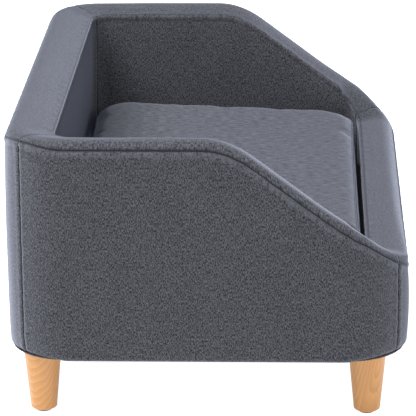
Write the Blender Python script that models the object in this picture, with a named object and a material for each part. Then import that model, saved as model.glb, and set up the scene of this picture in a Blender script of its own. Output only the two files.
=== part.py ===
"""Small dog sofa bed: an upholstered frame on four turned legs, with a loose zipped cushion.

Units are metres. X runs along the sofa, +Y is its back, Z is up, and the origin is on the
floor under the middle of the body. Every upholstered layer is a rounded rectangle in plan,
so each wall piece is a ribbon that follows two of those layers from one seam to the next.
"""
import math

import bmesh
import bpy
from mathutils import Matrix, Vector

# Overall sizes
LENGTH = 0.750
DEPTH = 0.500
BACK_HEIGHT = 0.356
FRONT_HEIGHT = 0.204
BODY_BOTTOM = 0.080

# Walls, in plan
ARM_WALL = 0.050
BACK_WALL = 0.055
FRONT_WALL = 0.048
OUTER_RADIUS = 0.077
INNER_RADIUS = 0.032

# The arm's profile: level from the back, then a slope that eases near the front rail
LEVEL_DEPTH = 0.277
EASING_DEPTH = 0.085
EASING_RISE = 0.048
BEND_SOFTNESS = 0.032

# The front rail's top falls outwards from the well
FRONT_FALL = 0.011
FALL_SOFTNESS = 0.006

# Sheets and boards
GAP = 0.0003
SKIN = 0.0030
BAND_SKIN = 0.0030
CLEARANCE_PER_SLOPE = 0.0032
BOARD = 0.012
BOARD_EASE = 0.007
DECK_TOP = 0.130
DECK_BOARD = 0.012
DECK_CLOTH = 0.0015
DUST_CLOTH = 0.0015
BATTEN_WIDTH = 0.025

# Legs and their fittings
LEG_FROM_SIDE = 0.0195
LEG_FROM_BACK = 0.0210
LEG_FROM_FRONT = 0.0276
LEG_TOP_RADIUS = 0.0236
LEG_BOTTOM_RADIUS = 0.0167
LEG_EDGE = 0.0020
BLOCK_SIZE = 0.078
BOLT_RADIUS = 0.0040
BOLT_IN_LEG = 0.034
BOLT_PAST_NUT = 0.003
NUT_WALL = 0.0012
NUT_LENGTH = 0.013
NUT_FLANGE_RADIUS = 0.0095
NUT_FLANGE = 0.0016
GLIDE_RADIUS = 0.0105
GLIDE_HEIGHT = 0.0030
GLIDE_PIN_RADIUS = 0.0012
GLIDE_PIN_LENGTH = 0.010

# Loose cushion and its zip
CUSHION_TOP = 0.209
CUSHION_GAP = 0.009
CUSHION_RADIUS = 0.048
CUSHION_EDGE = 0.008
COVER_SKIN = 0.0020
ZIP_LENGTH = 0.420
ZIP_HEIGHT = 0.012
SLIDER_LENGTH = 0.010
SLIDER_HEIGHT = 0.008
SLIDER_DEPTH = 0.0022
PULL_LENGTH = 0.014
PULL_HEIGHT = 0.006
PULL_THICKNESS = 0.0010
PULL_PIVOT = 0.0016

CORNER_STEPS = 8
ARM_STEPS = 16
WALL_COLUMNS = 3
ROUND_SIDES = 28

SIDES = {"back": 0, "left": 2, "front": 4, "right": 6}
CORNERS = {"back_left": 1, "front_left": 3, "front_right": 5, "back_right": 7}

# Where the cloth pieces of a side begin and end: the front seams stand nearer to the front
SEAMS = {"back": (-0.5, 1.5), "left": (1.5, 3.63), "front": (3.63, 5.37), "right": (5.37, 7.5)}

# colour, roughness, metallic
FINISHES = {
    "slate_linen": ((0.150, 0.160, 0.200), 0.90, 0.0),
    "black_cloth": ((0.012, 0.012, 0.013), 0.95, 0.0),
    "grey_foam": ((0.550, 0.540, 0.500), 0.95, 0.0),
    "plywood": ((0.560, 0.400, 0.240), 0.70, 0.0),
    "pine": ((0.640, 0.450, 0.260), 0.65, 0.0),
    "beech": ((0.640, 0.340, 0.140), 0.45, 0.0),
    "zinc_steel": ((0.480, 0.480, 0.470), 0.35, 1.0),
    "dark_steel": ((0.120, 0.120, 0.125), 0.40, 0.8),
    "zip_nylon": ((0.030, 0.032, 0.040), 0.60, 0.0),
}


def clear_scene():
    for thing in list(bpy.data.objects):
        bpy.data.objects.remove(thing, do_unlink=True)


def finish(name):
    """The named material, made once from its colour, roughness and metallic value."""
    if name in bpy.data.materials:
        return bpy.data.materials[name]
    colour, roughness, metallic = FINISHES[name]
    material = bpy.data.materials.new(name)
    material.use_nodes = True
    shader = material.node_tree.nodes["Principled BSDF"]
    shader.inputs["Base Color"].default_value = (*colour, 1.0)
    shader.inputs["Roughness"].default_value = roughness
    shader.inputs["Metallic"].default_value = metallic
    material.diffuse_color = (*colour, 1.0)
    return material


def add_object(name, bm, material, origin=(0.0, 0.0, 0.0), parent=None, smooth=False):
    """Put a finished bmesh, modelled about origin in world metres, into the scene."""
    bmesh.ops.translate(bm, verts=bm.verts, vec=-Vector(origin))
    bmesh.ops.recalc_face_normals(bm, faces=bm.faces)
    mesh = bpy.data.meshes.new(name)
    bm.to_mesh(mesh)
    bm.free()
    if smooth:
        mesh.shade_smooth()
        mesh.set_sharp_from_angle(angle=math.radians(35))
    thing = bpy.data.objects.new(name, mesh)
    bpy.context.collection.objects.link(thing)
    thing.location = origin
    if material:
        mesh.materials.append(finish(material))
    if parent:
        thing.parent = parent
        thing.matrix_parent_inverse = Matrix.Translation(-parent.location)
    return thing


def add_pivot(name, place):
    """An empty on a joint's axis, which the pieces of that body hang from."""
    pivot = bpy.data.objects.new(name, None)
    bpy.context.collection.objects.link(pivot)
    pivot.location = place
    return pivot


# Layers in plan

class Layer:
    """A rounded rectangle in plan, set in from the body's outside by its own amount per side."""

    def __init__(self, arm, back, front, radius):
        half = LENGTH / 2 - arm - radius
        rear = DEPTH / 2 - back - radius
        fore = -DEPTH / 2 + front + radius
        self.radius = radius
        self.centres = [Vector(c) for c in ((-half, rear), (-half, fore), (half, fore), (half, rear))]

    def at(self, u):
        """The point at u: legs 0, 2, 4, 6 are the back, left, front and right sides, and
        legs 1, 3, 5, 7 are the corners between them."""
        leg = math.floor(u) % 8
        along = u - math.floor(u)
        side = leg // 2
        corner = leg % 2
        angle = math.pi / 2 * (side + 1 + corner * along)
        centre = self.centres[side - 1].lerp(self.centres[side], 1.0 if corner else along)
        return centre + self.radius * Vector((math.cos(angle), math.sin(angle)))


def from_outside(inset):
    return Layer(inset, inset, inset, OUTER_RADIUS - inset)


def from_inside(outset):
    """A layer of the wall measured from its inner face. A negative value lies in the well."""
    return Layer(ARM_WALL - outset, BACK_WALL - outset, FRONT_WALL - outset, INNER_RADIUS + outset)


def leg_steps(leg):
    if leg % 2:
        return CORNER_STEPS
    return ARM_STEPS if leg % 8 in (SIDES["left"], SIDES["right"]) else 1


def stations(start, end):
    """Every u between two ends where a ribbon needs a section, with both ends."""
    marks = [start]
    for leg in range(math.floor(start), math.ceil(end)):
        steps = leg_steps(leg)
        marks += [leg + step / steps for step in range(steps) if start < leg + step / steps < end]
    return marks + [end]


def softened(distance, softness):
    """Nothing before a bend and the distance after it, with the bend itself a parabola."""
    if abs(distance) >= softness:
        return max(distance, 0.0)
    return (distance + softness) ** 2 / (4 * softness)


def falling_y(point):
    """The y that sets the height over a plan point. It is the point's own along the arms, and
    it swings round the inner corner, so that the slope ends where the front rail begins."""
    pivot_x = LENGTH / 2 - ARM_WALL - INNER_RADIUS
    pivot_y = -DEPTH / 2 + FRONT_WALL + INNER_RADIUS
    ahead = pivot_y - point.y
    if ahead <= 0:
        return point.y
    aside = max(abs(point.x) - pivot_x, 0.0)
    return pivot_y - (pivot_y + DEPTH / 2) * ahead / math.hypot(ahead, aside)


def top_height(point):
    """Height of the body's top over a plan point of the wall."""
    y = falling_y(point)
    bend = DEPTH / 2 - LEVEL_DEPTH
    easing = -DEPTH / 2 + EASING_DEPTH
    steep = (BACK_HEIGHT - FRONT_HEIGHT - EASING_RISE) / (bend - easing)
    gentle = EASING_RISE / EASING_DEPTH
    fall = steep * softened(bend - y, BEND_SOFTNESS)
    fall -= (steep - gentle) * softened(easing - y, BEND_SOFTNESS)
    rail_face = -DEPTH / 2 + FRONT_WALL
    fall += FRONT_FALL / FRONT_WALL * softened(rail_face - point.y, FALL_SOFTNESS)
    return BACK_HEIGHT - fall


def under_band(point):
    """Top of what lies under a band. The facets of a steeper arm need more room to clear it."""
    slope = (BACK_HEIGHT - FRONT_HEIGHT) / (DEPTH - LEVEL_DEPTH)
    return top_height(point) - BAND_SKIN - CLEARANCE_PER_SLOPE * slope


def level(height):
    return lambda point: height


# Solids

def ribbon(start, end, outer, inner, bottom, top, columns=1, ease=0.0):
    """A wall piece: a section between two layers, carried from one u to the other. Its lower
    outer edge may be eased by a chamfer."""
    bm = bmesh.new()
    sections = []
    for u in stations(start, end):
        out_point = outer.at(u)
        in_point = inner.at(u)
        across = [out_point.lerp(in_point, k / columns) for k in range(columns + 1)]
        loop = [(point, bottom(point)) for point in across]
        loop += [(point, top(point)) for point in reversed(across)]
        if ease:
            eased = out_point + (in_point - out_point).normalized() * ease
            loop[:1] = [(out_point, bottom(out_point) + ease), (eased, bottom(eased))]
        sections.append([bm.verts.new((point.x, point.y, z)) for point, z in loop])
    for first, second in zip(sections, sections[1:]):
        for k in range(len(first)):
            bm.faces.new((first[k], first[k - 1], second[k - 1], second[k]))
    bm.faces.new(sections[0])
    bm.faces.new(reversed(sections[-1]))
    return bm


def slab(outline, bottom, top):
    """A flat plate: a plan outline between two heights."""
    bm = bmesh.new()
    face = bm.faces.new([bm.verts.new((point.x, point.y, bottom)) for point in outline])
    grown = bmesh.ops.extrude_face_region(bm, geom=[face])
    raised = [item for item in grown["geom"] if isinstance(item, bmesh.types.BMVert)]
    bmesh.ops.translate(bm, verts=raised, vec=(0, 0, top - bottom))
    return bm


def soft_slab(layer, bottom, top, edge):
    """A plate on a whole layer, with its upper and lower edges rounded."""
    bm = slab(whole(layer), bottom, top)
    rims = [line for line in bm.edges if abs(line.verts[0].co.z - line.verts[1].co.z) < GAP]
    bmesh.ops.bevel(bm, geom=rims, offset=edge, segments=2, profile=0.5, affect="EDGES")
    return bm


def box(centre, size):
    bm = bmesh.new()
    bmesh.ops.create_cube(bm, size=1.0)
    bmesh.ops.scale(bm, verts=bm.verts, vec=size)
    bmesh.ops.translate(bm, verts=bm.verts, vec=centre)
    return bm


def turned(place, profile, sides=ROUND_SIDES):
    """A turned solid about a vertical axis. The profile's points are (radius, height), and it
    starts and ends on the axis, or else closes on itself as a ring."""
    bm = bmesh.new()
    rings = []
    for radius, height in profile:
        count = sides if radius > 0 else 1
        ring = []
        for step in range(count):
            angle = 2 * math.pi * step / sides
            ring.append(bm.verts.new((place[0] + radius * math.cos(angle),
                                      place[1] + radius * math.sin(angle), height)))
        rings.append(ring)
    closed = profile[0][0] > 0
    pairs = list(zip(rings, rings[1:]))
    if closed:
        pairs.append((rings[-1], rings[0]))
    for low, high in pairs:
        for step in range(sides):
            ahead = (step + 1) % sides
            loop = [low[step % len(low)], low[ahead % len(low)],
                    high[ahead % len(high)], high[step % len(high)]]
            bm.faces.new(list(dict.fromkeys(loop)))
    return bm


def whole(layer):
    """Every plan point of a layer, once around."""
    return [layer.at(u) for u in stations(0.0, 8.0)[:-1]]


def cut_away(target, name, bm):
    """Take a hidden cutter's shape out of a piece."""
    cutter = add_object(name, bm, None)
    cutter.hide_render = True
    cutter.display_type = "WIRE"
    modifier = target.modifiers.new(name, "BOOLEAN")
    modifier.operation = "DIFFERENCE"
    modifier.solver = "EXACT"
    modifier.object = cutter


# The parts of the body

def seam_ends(side):
    """Where the cloth pieces of a side end, just short of the seams."""
    clearance = GAP / (INNER_RADIUS * math.pi)
    start, end = SEAMS[side]
    return start + clearance, end - clearance


def leg_ends(leg):
    """Where a board or a foam pad of one straight side or one corner ends."""
    clearance = GAP / (INNER_RADIUS * math.pi)
    return leg + clearance, leg + 1.0 - clearance


def straight_ends(leg):
    """The same for a straight side, whose leg of u is as long as the side."""
    run = LENGTH if leg % 4 == 0 else DEPTH
    clearance = GAP / run
    return leg + clearance, leg + 1.0 - clearance


def add_cloth():
    """Outer panels, top bands and inner linings, each with a seam at every corner."""
    for side in SIDES:
        start, end = seam_ends(side)
        outer = ribbon(start, end, from_outside(0.0), from_outside(SKIN), level(BODY_BOTTOM), under_band)
        add_object(f"{side}_outer_panel", outer, "slate_linen")
        band = ribbon(start, end, from_outside(0.0), from_inside(0.0),
                      lambda point: top_height(point) - BAND_SKIN, top_height, WALL_COLUMNS)
        add_object(f"{side}_top_band", band, "slate_linen")
        lining = ribbon(start, end, from_inside(SKIN), from_inside(0.0), level(DECK_TOP + GAP), under_band)
        add_object(f"{side}_lining", lining, "slate_linen")


def board_layers():
    outer = from_outside(SKIN + GAP)
    inner = from_outside(SKIN + GAP + BOARD)
    return outer, inner


def add_boards():
    """Four plywood boards and the four bent plywood corners that join them. Their lower outer
    edges are eased, so that the cloth turns under them without a crease."""
    outer, inner = board_layers()
    foot = level(BODY_BOTTOM + DUST_CLOTH + GAP)
    for side, leg in SIDES.items():
        piece = ribbon(*straight_ends(leg), outer, inner, foot, under_band, ease=BOARD_EASE)
        add_object(f"{side}_board", piece, "plywood")
    for corner, leg in CORNERS.items():
        piece = ribbon(*leg_ends(leg), outer, inner, foot, under_band, ease=BOARD_EASE)
        add_object(f"{corner}_bent_ply_corner", piece, "plywood")


def add_foam():
    """Pads between the boards and the linings, which stand on the deck."""
    outer = from_outside(SKIN + BOARD + 2 * GAP)
    inner = from_inside(SKIN + GAP)
    foot = level(DECK_TOP + GAP)
    for side, leg in SIDES.items():
        piece = ribbon(*straight_ends(leg), outer, inner, foot, under_band, WALL_COLUMNS)
        add_object(f"{side}_foam", piece, "grey_foam")
    for corner, leg in CORNERS.items():
        piece = ribbon(*leg_ends(leg), outer, inner, foot, under_band, WALL_COLUMNS)
        add_object(f"{corner}_corner_foam", piece, "grey_foam")


def leg_places():
    """Plan place of each leg, by corner, measured from the middle of the round corner."""
    corner_cut = OUTER_RADIUS * (1 - math.cos(math.pi / 4))
    x = LENGTH / 2 - corner_cut - LEG_FROM_SIDE
    rear = DEPTH / 2 - corner_cut - LEG_FROM_BACK
    fore = -DEPTH / 2 + corner_cut + LEG_FROM_FRONT
    return {"back_left": (-x, rear), "front_left": (-x, fore),
            "front_right": (x, fore), "back_right": (x, rear)}


def block_heights():
    return BODY_BOTTOM + DUST_CLOTH + GAP, DECK_TOP - DECK_BOARD - GAP


def inner_frame():
    """The layer that lies against the inside of the boards."""
    return from_outside(SKIN + BOARD + 2 * GAP)


def block_outline(leg):
    """A square block whose outer corner follows the bent ply."""
    layer = inner_frame()
    arc = [layer.at(u) for u in stations(float(leg), leg + 1.0)]
    reach = BLOCK_SIZE - layer.radius
    turn = math.pi / 4 * (leg + 1)
    first_way = Vector((math.sin(turn), -math.cos(turn))) * reach
    last_way = Vector((-math.cos(turn), -math.sin(turn))) * reach
    start = arc[0] + first_way
    end = arc[-1] + last_way
    inner = start + last_way.normalized() * BLOCK_SIZE
    return [start, *arc, end, inner]


def nut_heights():
    top = block_heights()[1] - GAP
    return top - NUT_LENGTH, top


def add_blocks_and_fittings():
    """A leg block in each corner under the deck, with its T-nut let in from above."""
    bottom, top = block_heights()
    nut_bottom, nut_top = nut_heights()
    bore = BOLT_RADIUS + GAP
    barrel = bore + NUT_WALL
    for corner, leg in CORNERS.items():
        place = leg_places()[corner]
        block = add_object(f"{corner}_leg_block", slab(block_outline(leg), bottom, top), "pine")
        recess = nut_top - NUT_FLANGE - GAP
        hole = turned(place, [(0, bottom - BOARD), (barrel + GAP, bottom - BOARD), (barrel + GAP, recess),
                              (NUT_FLANGE_RADIUS + GAP, recess), (NUT_FLANGE_RADIUS + GAP, top + BOARD),
                              (0, top + BOARD)])
        cut_away(block, f"{corner}_block_hole", hole)
        nut = turned(place, [(bore, nut_bottom), (barrel, nut_bottom), (barrel, nut_top - NUT_FLANGE),
                             (NUT_FLANGE_RADIUS, nut_top - NUT_FLANGE), (NUT_FLANGE_RADIUS, nut_top),
                             (bore, nut_top)])
        add_object(f"{corner}_t_nut", nut, "zinc_steel", smooth=True)


def add_deck():
    """Two battens between the blocks, the deck on them, and the cloth over and under."""
    layer = inner_frame()
    bottom, top = block_heights()
    block_edge = layer.centres[2].x + layer.radius - BLOCK_SIZE
    run = 2 * (block_edge - GAP)
    for side, leg, inward in (("back", 0, -1), ("front", 4, 1)):
        face = layer.at(leg + 0.5).y
        centre = (0, face + inward * BATTEN_WIDTH / 2, (bottom + top) / 2)
        add_object(f"{side}_deck_batten", box(centre, (run, BATTEN_WIDTH, top - bottom)), "pine")
    add_object("seat_deck", slab(whole(layer), DECK_TOP - DECK_BOARD, DECK_TOP), "plywood")
    cloth = slab(whole(from_inside(-GAP)), DECK_TOP + GAP, DECK_TOP + GAP + DECK_CLOTH)
    add_object("deck_cloth", cloth, "black_cloth")
    under = slab(whole(from_outside(SKIN + GAP)), BODY_BOTTOM, BODY_BOTTOM + DUST_CLOTH)
    dust = add_object("dust_cover", under, "black_cloth")
    for corner, place in leg_places().items():
        radius = BOLT_RADIUS + GAP
        ends = (BODY_BOTTOM - BOARD, BODY_BOTTOM + BOARD)
        hole = turned(place, [(0, ends[0]), (radius, ends[0]), (radius, ends[1]), (0, ends[1])])
        cut_away(dust, f"{corner}_dust_hole", hole)


def add_legs():
    """Four tapered legs, each with its hanger bolt and its glide, hung from the screw axis."""
    top = BODY_BOTTOM - GAP
    bottom = GLIDE_HEIGHT + GAP
    bolt_foot = top - BOLT_IN_LEG
    bolt_head = nut_heights()[1] - BOLT_PAST_NUT
    pin_top = bottom + GLIDE_PIN_LENGTH
    hole = BOLT_RADIUS + GAP
    pin_hole = GLIDE_PIN_RADIUS + GAP
    for corner, place in leg_places().items():
        pivot = add_pivot(f"{corner}_screw_axis", (*place, BODY_BOTTOM))
        leg = turned(place, [
            (0, pin_top + GAP), (pin_hole, pin_top + GAP), (pin_hole, bottom),
            (LEG_BOTTOM_RADIUS - LEG_EDGE, bottom), (LEG_BOTTOM_RADIUS, bottom + LEG_EDGE),
            (LEG_TOP_RADIUS, top), (hole, top), (hole, bolt_foot - GAP), (0, bolt_foot - GAP)])
        add_object(f"{corner}_leg", leg, "beech", pivot.location, pivot, smooth=True)
        bolt = turned(place, [(0, bolt_foot), (BOLT_RADIUS, bolt_foot), (BOLT_RADIUS, bolt_head),
                              (0, bolt_head)])
        add_object(f"{corner}_hanger_bolt", bolt, "zinc_steel", pivot.location, pivot, smooth=True)
        glide = turned(place, [(0, 0), (GLIDE_RADIUS, 0), (GLIDE_RADIUS, GLIDE_HEIGHT),
                               (GLIDE_PIN_RADIUS, GLIDE_HEIGHT), (GLIDE_PIN_RADIUS, pin_top), (0, pin_top)])
        add_object(f"{corner}_glide", glide, "dark_steel", pivot.location, pivot, smooth=True)


# The loose cushion

def cushion_heights():
    return DECK_TOP + DECK_CLOTH + 2 * GAP, CUSHION_TOP


def cushion_layer(inset):
    """The cushion's plan, set in from its cover's outside."""
    side = ARM_WALL + CUSHION_GAP + inset
    back = BACK_WALL + CUSHION_GAP + inset
    front = FRONT_WALL + CUSHION_GAP + inset
    return Layer(side, back, front, CUSHION_RADIUS - inset)


def add_cushion():
    """A foam core in a cover that is open along its back where the zip goes."""
    bottom, top = cushion_heights()
    pivot = add_pivot("cushion_lift_axis", (0, 0, bottom))
    home = pivot.location
    cover = add_object("cushion_cover", soft_slab(cushion_layer(0.0), bottom, top, CUSHION_EDGE),
                       "slate_linen", home, pivot)
    hollow = soft_slab(cushion_layer(COVER_SKIN), bottom + COVER_SKIN, top - COVER_SKIN,
                       CUSHION_EDGE - COVER_SKIN)
    cut_away(cover, "cover_hollow", hollow)
    middle = (bottom + top) / 2
    back = cushion_layer(0.0).at(0.5).y
    slot = box((0, back - COVER_SKIN / 2, middle), (ZIP_LENGTH, 3 * COVER_SKIN, ZIP_HEIGHT))
    cut_away(cover, "cover_zip_slot", slot)
    inset = COVER_SKIN + GAP
    core = soft_slab(cushion_layer(inset), bottom + inset, top - inset, CUSHION_EDGE - inset)
    add_object("cushion_foam", core, "grey_foam", home, pivot)
    tape = box((0, back - COVER_SKIN / 2, middle),
               (ZIP_LENGTH - 2 * GAP, COVER_SKIN - 2 * GAP, ZIP_HEIGHT - 2 * GAP))
    add_object("zip_tape", tape, "zip_nylon", home, pivot)
    add_zip(pivot, back, middle)


def add_zip(cushion_pivot, back, middle):
    """The slider at the closed end of the zip, and the pull that lies along the tape."""
    slider_x = ZIP_LENGTH / 2 - SLIDER_LENGTH
    slider_y = back + GAP + SLIDER_DEPTH / 2
    slider_at = (slider_x, slider_y, middle)
    slider = box(slider_at, (SLIDER_LENGTH, SLIDER_DEPTH, SLIDER_HEIGHT))
    slider_piece = add_object("zip_slider", slider, "zinc_steel", slider_at, cushion_pivot)
    pivot_x = slider_x - SLIDER_LENGTH / 2 - GAP - PULL_PIVOT
    pull_at = (pivot_x, slider_y, middle)
    centre = (pivot_x + PULL_PIVOT / 2 - PULL_LENGTH / 2, slider_y, middle)
    pull = box(centre, (PULL_LENGTH, PULL_THICKNESS, PULL_HEIGHT))
    pull_piece = add_object("zip_pull", pull, "zinc_steel", pull_at)
    pull_piece.parent = slider_piece
    pull_piece.location = Vector(pull_at) - Vector(slider_at)


clear_scene()
add_cloth()
add_boards()
add_foam()
add_blocks_and_fittings()
add_deck()
add_legs()
add_cushion()
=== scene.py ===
# %% [markdown]
# # A small dog sofa bed
# This bed is built as a full-size sofa is: a plywood frame wrapped in foam, cloth panels sewn
# together over it, a loose cushion in a zipped cover, and four turned beech legs. The packed
# model already holds every piece at its true place. This script keeps those places, and makes
# the surfaces that the eye and the hand meet: cloth with seams, a soft cushion, grained wood.

# %% Load the frame
import math

import bpy
import numpy as np
from mathutils import Matrix, Vector, noise
from mathutils.bvhtree import BVHTree


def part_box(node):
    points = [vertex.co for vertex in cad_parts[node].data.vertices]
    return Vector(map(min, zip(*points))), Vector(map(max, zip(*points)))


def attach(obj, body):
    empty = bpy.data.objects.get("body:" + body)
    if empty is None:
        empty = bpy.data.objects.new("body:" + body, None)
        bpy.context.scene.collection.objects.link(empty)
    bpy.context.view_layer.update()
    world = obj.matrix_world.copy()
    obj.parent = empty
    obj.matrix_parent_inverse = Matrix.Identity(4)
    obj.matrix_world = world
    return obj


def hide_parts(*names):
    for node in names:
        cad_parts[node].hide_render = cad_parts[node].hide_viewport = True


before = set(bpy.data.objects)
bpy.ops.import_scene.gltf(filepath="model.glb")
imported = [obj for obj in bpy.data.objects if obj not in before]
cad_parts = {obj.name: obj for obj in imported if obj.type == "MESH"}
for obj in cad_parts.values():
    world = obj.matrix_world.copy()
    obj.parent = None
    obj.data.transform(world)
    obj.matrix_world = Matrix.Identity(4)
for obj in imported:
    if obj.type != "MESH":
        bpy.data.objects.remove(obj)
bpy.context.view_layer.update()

# %% [markdown]
# ## Sizes that come from the frame
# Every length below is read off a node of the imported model, so that a panel can't drift away
# from the board behind it. The deck cloth reaches the inside of all four walls, which gives
# their thickness, and the straight boards end where the round corners begin, which gives the
# outer radius. Only the roll of the arm is stated here, because a box can't tell a curve.


def low(node):
    return Vector(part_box(node)[0])


def high(node):
    return Vector(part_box(node)[1])


HALF_LENGTH = high("right_outer_panel").x
HALF_DEPTH = high("back_outer_panel").y
BODY_BOTTOM = low("left_outer_panel").z
DECK_TOP = high("deck_cloth").z
TOUCH = 0.0003
ARM_WALL = HALF_LENGTH - high("deck_cloth").x - TOUCH
BACK_WALL = HALF_DEPTH - high("deck_cloth").y - TOUCH
FRONT_WALL = HALF_DEPTH + low("deck_cloth").y - TOUCH
OUTER_RADIUS = HALF_LENGTH - high("back_board").x
BACK_HEIGHT = high("back_top_band").z
BAND_SKIN = BACK_HEIGHT - low("back_top_band").z
FRONT_HEIGHT = 0.204
INNER_RADIUS = 0.032
LEVEL_DEPTH = 0.277
EASING_DEPTH = 0.085
EASING_RISE = 0.048
BEND_SOFTNESS = 0.032
FRONT_FALL = 0.011
FALL_SOFTNESS = 0.006
walls = [round(wall, 4) for wall in (ARM_WALL, BACK_WALL, FRONT_WALL)]
print("walls", walls, "top", round(BACK_HEIGHT, 4))

# %% [markdown]
# ## The plan of a wall
# In plan the body is a rounded rectangle, and so is the well inside it. One number u goes
# round both: its even legs 0, 2, 4 and 6 are the back, left, front and right sides, and its
# odd legs are the corners between them. A point on the outside and a point on the inside with
# the same u face each other across the wall, which is all that is needed to lay cloth on it.

# %% Plan layers


class Layer:
    """A rounded rectangle in plan, set in by its own amount at the arms, the back and the front."""

    def __init__(self, arm, back, front, radius):
        half = HALF_LENGTH - arm - radius
        rear = HALF_DEPTH - back - radius
        fore = -HALF_DEPTH + front + radius
        self.radius = radius
        self.centres = [Vector(c) for c in ((-half, rear), (-half, fore), (half, fore), (half, rear))]

    def at(self, u):
        """The plan point at u and the direction that points straight out of the body there."""
        leg = math.floor(u) % 8
        along = u - math.floor(u)
        side = leg // 2
        corner = leg % 2
        angle = math.pi / 2 * (side + 1 + corner * along)
        centre = self.centres[side - 1].lerp(self.centres[side], 1.0 if corner else along)
        outward = Vector((math.cos(angle), math.sin(angle)))
        return centre + self.radius * outward, outward


OUTSIDE = Layer(0.0, 0.0, 0.0, OUTER_RADIUS)
INSIDE = Layer(ARM_WALL, BACK_WALL, FRONT_WALL, INNER_RADIUS)
SEAMS = {"back": (-0.5, 1.5), "left": (1.5, 3.63), "front": (3.63, 5.37), "right": (5.37, 7.5)}

# %% Height of the rim


def softened(distance, softness):
    """Nothing before a bend and the distance after it, with a parabola between."""
    if abs(distance) >= softness:
        return max(distance, 0.0)
    return (distance + softness) ** 2 / (4 * softness)


def falling_y(point):
    """The y that sets the height: the point's own, swung round the front corners."""
    pivot_x = HALF_LENGTH - ARM_WALL - INNER_RADIUS
    pivot_y = -HALF_DEPTH + FRONT_WALL + INNER_RADIUS
    ahead = pivot_y - point.y
    if ahead <= 0:
        return point.y
    aside = max(abs(point.x) - pivot_x, 0.0)
    return pivot_y - (pivot_y + HALF_DEPTH) * ahead / math.hypot(ahead, aside)


def rim_height(point):
    """Height of the top of the wall over a plan point: level, then sloping, then easing."""
    y = falling_y(point)
    bend = HALF_DEPTH - LEVEL_DEPTH
    easing = -HALF_DEPTH + EASING_DEPTH
    steep = (BACK_HEIGHT - FRONT_HEIGHT - EASING_RISE) / (bend - easing)
    gentle = EASING_RISE / EASING_DEPTH
    fall = steep * softened(bend - y, BEND_SOFTNESS)
    fall -= (steep - gentle) * softened(easing - y, BEND_SOFTNESS)
    rail_face = -HALF_DEPTH + FRONT_WALL
    fall += FRONT_FALL / FRONT_WALL * softened(rail_face - point.y, FALL_SOFTNESS)
    return BACK_HEIGHT - fall


# %% [markdown]
# ## Shader maths in plain Python
# A material in Blender is a net of nodes, and sums in it need a Math node each. The small
# class below wraps a socket, so that `1 - mask` or `warp * 0.6 + weft * 0.4` adds those nodes
# by itself, and one method makes every other kind of node.

# %% Signals and finishes


class Signal:
    """A node's output that can be used in sums."""

    def __init__(self, tree, socket):
        self.tree = tree
        self.socket = socket

    def math(self, operation, *values):
        node = self.tree.nodes.new("ShaderNodeMath")
        node.operation = operation
        for value, entry in zip(values, node.inputs):
            join(self.tree, value, entry)
        return Signal(self.tree, node.outputs[0])

    def __add__(self, other):
        return self.math("ADD", self, other)

    def __sub__(self, other):
        return self.math("SUBTRACT", self, other)

    def __mul__(self, other):
        return self.math("MULTIPLY", self, other)

    def __rsub__(self, other):
        return self.math("SUBTRACT", other, self)

    def between(self, least, most):
        """0 at least, 1 at most, and straight between them."""
        scaled = (self - least) * (1.0 / (most - least))
        return scaled.math("MINIMUM", scaled.math("MAXIMUM", scaled, 0.0), 1.0)

    __radd__ = __add__
    __rmul__ = __mul__


def join(tree, value, entry):
    """Link a signal to a socket, or set the socket's own value."""
    if isinstance(value, Signal):
        tree.links.new(value.socket, entry)
    elif value is not None:
        entry.default_value = value


class Finish:
    """A material with a Principled shader, and the one way to add other nodes to it."""

    def __init__(self, name, **fixed):
        self.material = bpy.data.materials.new(name)
        self.material.use_nodes = True
        self.tree = self.material.node_tree
        self.shader = self.tree.nodes["Principled BSDF"]
        for socket, value in fixed.items():
            self.shader.inputs[socket.replace("_", " ")].default_value = value

    def node(self, kind, settings=None, sockets=None, out=0):
        made = self.tree.nodes.new(kind)
        for key, value in (settings or {}).items():
            setattr(made, key, value)
        for key, value in (sockets or {}).items():
            join(self.tree, value, made.inputs[key])
        return Signal(self.tree, made.outputs[out])

    def scaled(self, vector, scale, shift=(0.0, 0.0, 0.0)):
        sockets = {"Vector": vector, "Scale": scale, "Location": shift}
        return self.node("ShaderNodeMapping", None, sockets)

    def noise(self, vector, scale=1.0, detail=2.0, roughness=0.5):
        sockets = {"Vector": vector, "Scale": scale, "Detail": detail, "Roughness": roughness}
        return self.node("ShaderNodeTexNoise", None, sockets)

    def blend(self, factor, first, second):
        sockets = {0: factor, 6: first, 7: second}
        return self.node("ShaderNodeMix", {"data_type": "RGBA"}, sockets, out=2)

    def bump(self, height, distance, strength=1.0):
        sockets = {"Height": height, "Distance": distance, "Strength": strength}
        return self.node("ShaderNodeBump", None, sockets)

    def feed(self, socket, value):
        join(self.tree, value, self.shader.inputs[socket])


def tint(red, green, blue):
    return (red, green, blue, 1.0)


# %% [markdown]
# ## The sofa cloth
# The cloth is a melange linen weave: each thread is spun from darker and lighter fibres, so
# up close it is a mass of short dashes, and from a metre away a soft, uneven grey. The warp
# carries slubs, the thicker stretches of a thread, which show as streaks along it. All of it
# reads the cloth map of a piece, which is laid out in metres of real cloth, so a thread is
# the same size on every panel and follows each panel round its corner. Two more values ride
# on the mesh and paint light and shade into the colour: `seam` paints the shade that falls in
# the valley where two pieces are sewn, and the allowance value paints a paler strip beside it,
# the light caught by the ridge that the folded hem pushes up under the cloth.

# %% Sofa cloth

THREAD = 900.0
THREAD_STRETCH = 0.38
FLECK_STRETCH = 0.8
SLUB = 250.0
SLUB_STRETCH = 0.36
CLOUD = (22.0, 9.0, 1.0)
WARP_SHARE = 0.56
WEFT_SHARE = 0.14
FLECK_SHARE = 0.30
CLOUD_SHARE = 0.05
WEAVE_RELIEF = 0.0007
CLOTH_DARK = tint(0.0048, 0.0048, 0.0054)
CLOTH_LIGHT = tint(0.0630, 0.0635, 0.0710)
# Painted shade: the near-black colour laid into every seam valley, where the shadow falls.
PAINTED_SEAM_SHADE = tint(0.004, 0.004, 0.006)


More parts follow.
